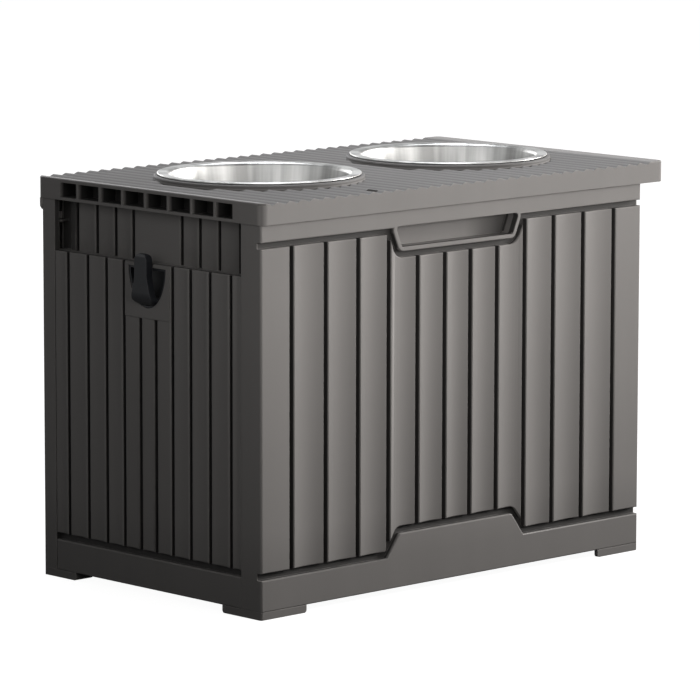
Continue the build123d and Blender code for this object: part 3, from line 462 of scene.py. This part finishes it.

# %% [markdown]
# ## Spun steel
#
# The bowls are drawn from sheet and polished while they turn, so their fine scratches are circles
# about the bowl's own axis. A noise that is read along the radius and the height only, and not
# round the axis, gives such circles. It changes the roughness and, very slightly, the height.
# Steel polished this way also shows bright and dark rays that run out from the middle, which are
# reflections. They are painted into its colour by a second noise, read round the axis.

# %% Bowl steel, one finish for each bowl because each has its own axis
STEEL_DARK, STEEL_BRIGHT = (0.27, 0.27, 0.265), (0.66, 0.66, 0.65)
RAYS_FULL = 90.0 * MM           # how far from the axis the rays are at their strongest
RAY_SCALE, RAY_STRENGTH = 2.6, 3.6
RAY_TWIST = 4.0                 # how soon a ray changes on its way out, per metre
FINE_RINGS, BROAD_RINGS, HANDLING = 1500.0, 160.0, 28.0
SMALLEST_RADIUS = 1.0 * MM      # so that nothing is divided by zero on the axis


def make_spun_steel(name, centre):
    """Polished steel with circular scratches and painted reflection rays about an upright axis."""
    material, sheet, shader = new_material(name)
    place = object_place(sheet)
    x, y, z = (place - Vector((*centre, 0.0))).parts()
    radius = (x * x + y * y) ** 0.5
    turned = sheet.node("ShaderNodeCombineXYZ", {}, radius, z, 0.0)
    fine = noise(sheet, turned, FINE_RINGS, 3.0, 0.7)
    broad = noise(sheet, turned, BROAD_RINGS)
    handling = noise(sheet, place, HANDLING, 3.0)

    # painted reflection: bright and dark rays from the axis, put into the colour
    reach = radius.at_least(SMALLEST_RADIUS)
    round_place = sheet.node("ShaderNodeCombineXYZ", {}, x / reach, y / reach, radius * RAY_TWIST)
    rays = noise(sheet, round_place, RAY_SCALE, 4.0, 0.6)
    painted_rays = 0.5 + (rays - 0.5) * RAY_STRENGTH * (radius / RAYS_FULL).clamped()
    bright = (painted_rays + (fine - 0.5) * 0.3 + (handling - 0.5) * 0.2).clamped()
    sheet.feed(shader, "Base Color", sheet.mix(bright, STEEL_DARK, STEEL_BRIGHT))
    sheet.feed(shader, "Roughness", 0.20 + fine * 0.12 + broad * 0.08 + handling * 0.06)
    sheet.feed(shader, "Normal", bump(sheet, 0.12, 0.3 * MM, fine * 0.7 + broad * 0.3))
    shader.inputs["Metallic"].default_value = 1.0
    shader.inputs["Anisotropic"].default_value = 0.35
    return material


def middle_of(node):
    """Middle of a node's box, seen from above."""
    low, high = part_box(node)
    return ((low.x + high.x) / 2, (low.y + high.y) / 2)


spun_steel = {
    side: make_spun_steel(f"spun_steel_{side}", middle_of(f"{side}_bowl"))
    for side in ("left", "right")
}
print("made", [m.name for m in spun_steel.values()])

# %% [markdown]
# ## Zinc
#
# The hinge pins and the screws are zinc plated. Such plating is dull and faintly spangled, a
# patchwork of crystals that each turn the light a little differently. Voronoi cells are that
# patchwork, and a fine noise over them is the handling.

# %% Zinc on the pins and screws
ZINC_DULL, ZINC_BRIGHT = (0.42, 0.43, 0.44), (0.60, 0.60, 0.58)
SPANGLES, DULLING = 900.0, 300.0


def make_zinc():
    """Dull spangled plating."""
    material, sheet, shader = new_material("zinc_plate")
    place = object_place(sheet)
    spangle = sheet.node("ShaderNodeTexVoronoi", {}, Vector=place, Scale=SPANGLES).out("Color")
    level = sheet.node("ShaderNodeRGBToBW", {}, spangle)
    dull = noise(sheet, place, DULLING, 3.0)
    sheet.feed(shader, "Base Color", sheet.mix(level * 0.6 + dull * 0.4, ZINC_DULL, ZINC_BRIGHT))
    sheet.feed(shader, "Roughness", 0.28 + level * 0.12 + dull * 0.12)
    shader.inputs["Metallic"].default_value = 1.0
    return material


zinc_plate = make_zinc()
print("made", zinc_plate.name)

# %% Give every node of the frame its finish
FINISH_OF_SLOT = {
    "resin": warm_grey_resin,
    "hook_plastic": hook_plastic,
    "fastener_steel": zinc_plate,
}
for part in frame["record"]["subparts"]:
    node = frame["nodes"][part["node"]]
    finish = FINISH_OF_SLOT.get(part["material_slot"]) or spun_steel[part["node"].split("_")[0]]
    node.data.materials.clear()
    node.data.materials.append(ridged_resin if part["node"] == "lid_shell" else finish)

# %% [markdown]
# ## Hollowed boards
#
# The exact walls have flat boards. Moulded boards are hollowed a little, like old planks, and the
# hollow is what makes each one fade from light to dark across its width. So every wall is copied,
# and its boards are cut into narrow strips. A Geometry Nodes tree then presses the strips in. It
# reads where each point lies across its board, from 0 to 1, and its share of the hollow, which is
# 1 on a board and 0 elsewhere. A displacement map would give the same shading, but the boards' own
# outline would stay flat.

# %% A tree that presses the boards in
TREE_INPUTS = (
    ("Depth", "NodeSocketFloat", 1.5 * MM),
    ("Facing", "NodeSocketVector", (0.0, -1.0, 0.0)),
    ("Finish", "NodeSocketMaterial", None),
)


def make_hollow_tree():
    """Moves each point of a board against its wall's facing, deepest at the board's middle."""
    tree = bpy.data.node_groups.new("hollow_boards", "GeometryNodeTree")
    tree.interface.new_socket("Geometry", in_out="INPUT", socket_type="NodeSocketGeometry")
    for name, kind, value in TREE_INPUTS:
        socket = tree.interface.new_socket(name, in_out="INPUT", socket_type=kind)
        if value is not None:
            socket.default_value = value
    tree.interface.new_socket("Geometry", in_out="OUTPUT", socket_type="NodeSocketGeometry")

    sheet = Sheet(tree)
    given = sheet.node("NodeGroupInput")
    number = {"data_type": "FLOAT"}
    across = sheet.node("GeometryNodeInputNamedAttribute", number, Name="across")
    share = sheet.node("GeometryNodeInputNamedAttribute", number, Name="share")
    press = across * (1.0 - across) * 4.0 * share * given.out("Depth")
    scale = {"operation": "SCALE"}
    move = sheet.node("ShaderNodeVectorMath", scale, given.out("Facing"), Scale=-press)
    placed = sheet.node("GeometryNodeSetPosition", {}, given.out("Geometry"), Offset=move)
    real = sheet.node("GeometryNodeRealizeInstances", {}, placed)
    done = sheet.node("GeometryNodeSetMaterial", {}, real, Material=given.out("Finish"))
    output = tree.nodes.new("NodeGroupOutput")
    tree.links.new(done.socket, output.inputs[0])
    return tree


hollow_tree = make_hollow_tree()
print("tree has", len(hollow_tree.nodes), "nodes")

# %% Where the boards lie along a wall
END_FIELD = 313.8               # what an end's boards take, in millimetres
CORNER_POST, SEAM = 33.0, 0.6
REAR_BOARD_EXTRA = 6.0


def board_spans(middle, length, end_board, count, step, groove):
    """Start and end of every board, in metres, from sizes in millimetres.

    The boards between the two end boards grow by a step each from the middle one outwards.
    """
    half = (count - 1) // 2
    narrowest = (length - 2 * end_board - 2 * step * sum(range(half + 1))) / count
    edges = [-length / 2 + end_board]
    for index in range(count):
        edges.append(edges[-1] + narrowest + step * abs(index - half))
    starts = [-length / 2] + [edge + groove / 2 for edge in edges]
    ends = [edge - groove / 2 for edge in edges] + [length / 2]
    return [((middle + a) * MM, (middle + b) * MM) for a, b in zip(starts, ends)]


long_boards = board_spans(
    X_MIDDLE / MM, length=BOX_LENGTH / MM, end_board=47.1, count=11, step=2.2, groove=6.4
)
side_middle = Y_FRONT / MM + CORNER_POST + SEAM + END_FIELD / 2
side_boards = board_spans(
    side_middle, length=END_FIELD, end_board=17.0, count=9, step=2.1, groove=5.0
)
rear_start, rear_end = side_boards[-1]
side_boards[-1] = (rear_start, rear_end + REAR_BOARD_EXTRA * MM)
print("boards on a long wall:", len(long_boards), "and on an end:", len(side_boards))

# %% What is no board: the finger grip and the tab below it
# Each is a trapezoid: half its width at the foot, its foot, its sides' lean, its height, and how
# far round it the boards stay flat.
GRIP = (90.7 * MM, GRIP_FOOT, GRIP_LEAN, 24.5 * MM, 8.5 * MM)
TAB = (112.0 * MM, 45.0 * MM, -20.0 / 27.0, 27.0 * MM, 4.0 * MM)


def is_near(trapezoid, offset, z):
    """Whether a point of the front is in a trapezoid about the middle, or within its reach."""
    half_width, foot, lean, height, reach = trapezoid
    slope = math.hypot(1.0, lean)
    beyond_side = (abs(offset) - half_width - (z - foot) * lean) / slope
    return max(beyond_side, z - foot - height, foot - z) < reach


def is_fitting(point):
    """Whether a point of the front belongs to the grip or the tab, not to a board."""
    offset = point.x - X_MIDDLE
    return is_near(GRIP, offset, point.z) or is_near(TAB, offset, point.z)


print("the middle of the grip is a fitting:", is_fitting(Vector((X_MIDDLE, Y_FRONT, GRIP_FOOT))))

# %% Flat light on flat faces
SMOOTH_DEGREES = 20.0
BROAD_FACE = 2.0 * MM           # a face's area over its rim


def smooth_all_but_broad(mesh):
    """Smooth shading for strips and roundings, so that broad flat faces keep their own normal."""
    mesh.set_sharp_from_angle(angle=math.radians(SMOOTH_DEGREES))
    share = mesh.attributes["share"].data
    for face in mesh.polygons:
        rim = sum((mesh.vertices[a].co - mesh.vertices[b].co).length for a, b in face.edge_keys)
        is_pressed = all(share[index].value > 0.0 for index in face.vertices)
        face.use_smooth = is_pressed or face.area / rim < BROAD_FACE


print("faces count as broad above", BROAD_FACE / MM, "mm of area over rim")

# %% Cut one board into strips
STRIPS = 8
EDGE = 0.9 * MM                 # a board's rounded edge, which isn't pressed
NEAR = 0.01 * MM


def faces_of_board(shape, node_name, axis, facing, field):
    """The faces of a copied wall that lie on one board, its rounded edges left out."""
    face_place, start, end, foot, head = field
    other = 1 - axis

    def is_on_board(vert):
        behind = (face_place - vert.co[other]) * facing[other]
        return (
            -NEAR < behind < EDGE + NEAR
            and start - NEAR < vert.co[axis] < end + NEAR
            and foot - NEAR < vert.co.z < head + NEAR
            and not (node_name == "front_wall" and is_fitting(vert.co))
        )

    return [face for face in shape.faces if all(is_on_board(vert) for vert in face.verts)]


def cut_board(shape, faces, axis, field, across_layer, share_layer):
    """Cut a board lengthwise, and mark where each of its points lies across it."""
    _, start, end, _, _ = field
    low, high = start + EDGE, end - EDGE
    edges = {edge for face in faces for edge in face.edges}
    verts = {vert for face in faces for vert in face.verts}
    cuts = [*faces, *edges, *verts]
    for strip in range(1, STRIPS):
        place, normal = Vector((0, 0, 0)), Vector((0, 0, 0))
        place[axis], normal[axis] = low + (high - low) * strip / STRIPS, 1.0
        cut = bmesh.ops.bisect_plane(shape, geom=cuts, plane_co=place, plane_no=normal, dist=1e-6)
        cuts = cut["geom"]
    for vert in {item for item in cuts if isinstance(item, bmesh.types.BMVert)}:
        vert[across_layer] = min(1.0, max(0.0, (vert.co[axis] - low) / (high - low)))
        vert[share_layer] = 1.0


print("each board becomes", STRIPS, "strips")

# %% Copy a wall and hollow its boards
SAME_PLANE = 0.001              # radians between faces that are merged into one


def hollow_wall(node_name, axis, facing, fields, depth):
    """Copy of a wall whose boards are cut into strips, marked, and pressed in."""
    shape = bmesh.new()
    shape.from_mesh(frame["nodes"][node_name].data)
    bmesh.ops.remove_doubles(shape, verts=shape.verts, dist=NEAR)
    bmesh.ops.dissolve_limit(
        shape, angle_limit=SAME_PLANE, verts=shape.verts, edges=shape.edges
    )
    across_layer = shape.verts.layers.float.new("across")
    share_layer = shape.verts.layers.float.new("share")
    for field in fields:
        faces = faces_of_board(shape, node_name, axis, facing, field)
        cut_board(shape, faces, axis, field, across_layer, share_layer)
    mesh = bpy.data.meshes.new(node_name + "_boards")
    shape.to_mesh(mesh)
    shape.free()

    wall = bpy.data.objects.new(node_name + "_boards", mesh)
    bpy.context.scene.collection.objects.link(wall)
    modifier = wall.modifiers.new("hollow", "NODES")
    modifier.node_group = hollow_tree
    values = {"Depth": depth, "Facing": facing, "Finish": grooved_resin}
    for item in hollow_tree.interface.items_tree:
        if item.in_out == "INPUT" and item.name in values:
            modifier[item.identifier] = values[item.name]
    evaluated = wall.evaluated_get(bpy.context.evaluated_depsgraph_get())
    pressed = bpy.data.meshes.new_from_object(evaluated)
    wall.modifiers.remove(modifier)
    wall.data = pressed
    smooth_all_but_broad(pressed)
    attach(wall, "box")
    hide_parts(node_name)


print("ready to hollow", [name for name in frame["nodes"] if name.endswith("_wall")])

# %% Hollow the four walls
BOARD_FOOT, FRONT_HEAD, RIM = 53.0 * MM, 420.0 * MM, 446.5 * MM
CUP_FOOT = 312.0 * MM           # the boards below a hook's cup end here
MIDDLE_BOARD = len(side_boards) // 2
LONG_HOLLOW, END_HOLLOW = 2.2 * MM, 1.3 * MM


def is_beside_cup(index):
    """Whether a board of an end runs past the hook's cup."""
    return abs(index - MIDDLE_BOARD) > 1


def long_fields(face_place):
    """The boards of the front or back: their face, start, end, foot and head."""
    return [(face_place, start, end, BOARD_FOOT, FRONT_HEAD) for start, end in long_boards[1:-1]]


def end_fields(face_place, recess_place):
    """The boards of an end: the lower ones, and the upper ones at the back of the hand recess."""
    heads = [LEDGE_TOP if is_beside_cup(i) else CUP_FOOT for i in range(len(side_boards))]
    lower = [
        (face_place, start, end, BOARD_FOOT, head)
        for (start, end), head in zip(side_boards, heads)
    ]
    upper = [
        (recess_place, start, end, LEDGE_TOP, RIM)
        for i, (start, end) in enumerate(side_boards)
        if is_beside_cup(i) and 0 < i < len(side_boards) - 1
    ]
    return lower + upper


left_fields = end_fields(X_LEFT, X_LEFT + RECESS_DEPTH)
right_fields = end_fields(X_RIGHT, X_RIGHT - RECESS_DEPTH)
hollow_wall("front_wall", 0, (0.0, -1.0, 0.0), long_fields(Y_FRONT), LONG_HOLLOW)
hollow_wall("back_wall", 0, (0.0, 1.0, 0.0), long_fields(Y_BACK), LONG_HOLLOW)
hollow_wall("left_wall", 1, (-1.0, 0.0, 0.0), left_fields, END_HOLLOW)
hollow_wall("right_wall", 1, (1.0, 0.0, 0.0), right_fields, END_HOLLOW)

# %% [markdown]
# ## Floor, lamps and camera
#
# The object stands on a white floor before a white ground. The floor glows white for the camera,
# and for the object's own light only faintly and some way off, so that the foot of the box stays
# duskier than its rim. A share of plain paint keeps a trace of soft shadow. Glossy rays see a
# pale floor and pale walls, so that the steel has something to reflect. The key lamp stands far to
# the right and rakes along the front, which brings out the hollow of every board. A strip level
# with the lid lights the front from its rim down. A weak lamp at the left keeps that end in
# shade, one behind keeps the back readable, and one overhead lights the ridges.

# %% Floor
WHITE = (1.0, 1.0, 1.0, 1.0)
FLOOR_HALF = 30.0
FLOOR_PAINT = (0.20, 0.20, 0.20, 1.0)
POOL_START, POOL_END = 0.35, 1.1   # how far from the middle the floor's own light comes up
POOL_LIGHT = 0.05
NEAR_GLOW, NEAR_MIRRORED, FAR_MIRRORED = 0.96, 0.08, 0.18


def seen_by_camera(rays):
    """1 for what the camera sees, straight or through glass."""
    return rays.out("Is Camera Ray").at_least(rays.out("Is Transmission Ray"))


def paint_floor():
    """A floor that is white to the camera and nearly dark to the object."""
    material = bpy.data.materials.new("pale_floor")
    material.use_nodes = True
    tree = material.node_tree
    tree.nodes.clear()
    sheet = Sheet(tree)
    rays = sheet.node("ShaderNodeLightPath")
    x, y, _ = object_place(sheet).parts()
    away = ((x * x + y * y) ** 0.5).ramp(POOL_START, POOL_END - POOL_START)
    strength = NEAR_GLOW + away * (1.0 - NEAR_GLOW)
    glow = sheet.node("ShaderNodeEmission", {}, Color=WHITE, Strength=strength)
    paint = sheet.node("ShaderNodeBsdfDiffuse", {}, Color=FLOOR_PAINT)
    for_camera = sheet.node("ShaderNodeAddShader", {}, glow, paint)
    mirrored = NEAR_MIRRORED + away * (FAR_MIRRORED - NEAR_MIRRORED)
    level = sheet.mix(rays.out("Is Glossy Ray"), away * POOL_LIGHT, mirrored)
    pool = sheet.node("ShaderNodeEmission", {}, Color=WHITE, Strength=level)
    surface = sheet.node("ShaderNodeMixShader", {}, seen_by_camera(rays), pool, for_camera)
    output = tree.nodes.new("ShaderNodeOutputMaterial")
    tree.links.new(surface.socket, output.inputs["Surface"])
    return material


mesh = bpy.data.meshes.new("floor")
corners = [(x * FLOOR_HALF, y * FLOOR_HALF, 0) for x, y in ((-1, -1), (1, -1), (1, 1), (-1, 1))]
mesh.from_pydata(corners, [], [(0, 1, 2, 3)])
mesh.materials.append(paint_floor())
floor = bpy.data.objects.new("floor", mesh)
bpy.context.scene.collection.objects.link(floor)
print("floor:", 2 * FLOOR_HALF, "m wide")

# %% World
AMBIENT = 0.0                   # the object gets its light from the lamps alone
MIRRORED_SIDES, MIRRORED_TOP = 0.85, 0.35
world = bpy.data.worlds.new("studio")
world.use_nodes = True
world.node_tree.nodes.clear()
sheet = Sheet(world.node_tree)
rays = sheet.node("ShaderNodeLightPath")
up = sheet.node("ShaderNodeTexCoord").out("Generated").parts()[2]
mirrored = sheet.mix(up.clamped(), MIRRORED_SIDES, MIRRORED_TOP)
unseen = sheet.mix(rays.out("Is Glossy Ray"), AMBIENT, mirrored)
strength = sheet.mix(seen_by_camera(rays), unseen, 1.0)
background = sheet.node("ShaderNodeBackground", {}, Color=WHITE, Strength=strength)
world_output = world.node_tree.nodes.new("ShaderNodeOutputWorld")
world.node_tree.links.new(background.socket, world_output.inputs["Surface"])
bpy.context.scene.world = world
print("ambient light:", AMBIENT)

# %% Lamps
BODY_MIDDLE = (0.0, 0.0, 0.25)
NEUTRAL = (1.0, 1.0, 1.0)
WARM = (1.0, 0.975, 0.95)
COOL = (0.94, 0.965, 1.0)


def add_softbox(name, direction, distance, size, power, target, colour=NEUTRAL):
    """An oblong area lamp that faces the target from a direction."""
    light = bpy.data.lights.new(name, "AREA")
    light.color = colour
    light.shape = "RECTANGLE"
    light.size, light.size_y = size
    light.energy = power
    lamp = bpy.data.objects.new(name, light)
    place = Vector(target) + Vector(direction).normalized() * distance
    lamp.location = place
    lamp.rotation_euler = (Vector(target) - place).to_track_quat("-Z", "Y").to_euler()
    bpy.context.scene.collection.objects.link(lamp)


add_softbox(
    "key_softbox", direction=(2.0, -0.65, 0.55), distance=6.0, size=(2.4, 2.0),
    power=405.0, target=BODY_MIDDLE, colour=WARM,
)
add_softbox(
    "front_strip", direction=(0.0, -1.0, 0.1), distance=0.50, size=(2.4, 0.20),
    power=5.5, target=(0.50, -0.19, 0.46), colour=WARM,
)
add_softbox(
    "left_softbox", direction=(-1.5, -0.4, 0.7), distance=1.2, size=(1.4, 1.0),
    power=2.4, target=(-0.32, 0.0, 0.40),
)
add_softbox(
    "back_softbox", direction=(0.5, 2.0, 0.35), distance=3.5, size=(2.4, 1.6),
    power=36.0, target=BODY_MIDDLE,
)
add_softbox(
    "overhead_softbox", direction=(0.0, 0.0, 1.0), distance=1.2, size=(0.86, 0.9),
    power=21.0, target=(0.11, 0.1, 0.45), colour=COOL,
)

# %% Camera
# The lens is long and looks slightly down on the corner between the front and the left end.
CAMERA_PLACE = (-3.8900, -4.0522, 1.0896)
CAMERA_TURNS = ((-43.821, "Z"), (90.0 - 8.461, "X"), (0.107, "Z"))
LENS, SENSOR = 245.44, 36.0
camera_data = bpy.data.cameras.new("camera")
camera_data.sensor_width = SENSOR
camera_data.lens = LENS
camera = bpy.data.objects.new("camera", camera_data)
camera.location = CAMERA_PLACE
yaw, pitch, roll = [Matrix.Rotation(math.radians(turn), 3, axis) for turn, axis in CAMERA_TURNS]
camera.rotation_euler = (yaw @ pitch @ roll).to_euler()
bpy.context.scene.collection.objects.link(camera)
bpy.context.scene.camera = camera
bpy.context.scene.view_settings.view_transform = "Standard"
print("camera stands", round(camera.location.length, 2), "m away")
